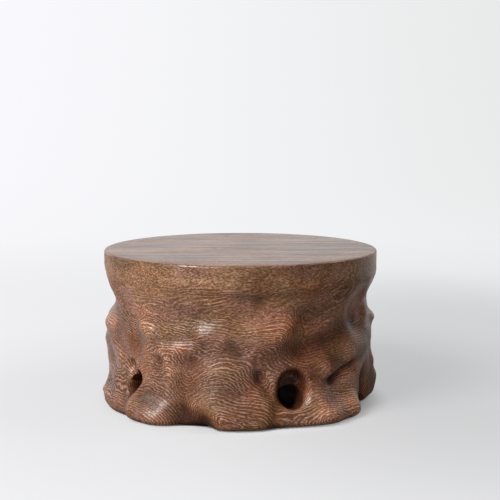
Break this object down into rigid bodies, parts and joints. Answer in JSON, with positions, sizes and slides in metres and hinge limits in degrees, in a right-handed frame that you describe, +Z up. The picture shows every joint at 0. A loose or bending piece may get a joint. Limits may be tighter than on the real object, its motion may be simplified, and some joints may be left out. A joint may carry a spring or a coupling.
{
  "type": "carved hardwood display stand",
  "caption": "Carved hardwood stand shaped like a tree stump: flat round top, waisted body with pierced root forms, spreading feet and a hollowed underside.",
  "frame": {"origin": "on the table, under the middle of the stand", "axes": "+Z up, -Y the front with the large hole right of the middle, +X to the right seen from the front"},
  "size_m": [0.1248, 0.1208, 0.0675],
  "materials": {
    "carved_wood": "chicken-wing wood, carved, sanded and waxed to a satin sheen",
    "dowel_wood": "plain light hardwood dowel, hidden in the glue joint",
    "felt": "dark brown wool felt"
  },
  "bodies": {
    "root": {"front_billet": "carved_wood", "rear_billet": "carved_wood", "dowel_upper_left": "dowel_wood", "dowel_upper_right": "dowel_wood", "dowel_lower_left": "dowel_wood", "dowel_lower_right": "dowel_wood", "pad_front_left": "felt", "pad_front": "felt", "pad_front_right": "felt", "pad_rear_right": "felt", "pad_rear": "felt", "pad_rear_left": "felt"}
  },
  "joints": []
}
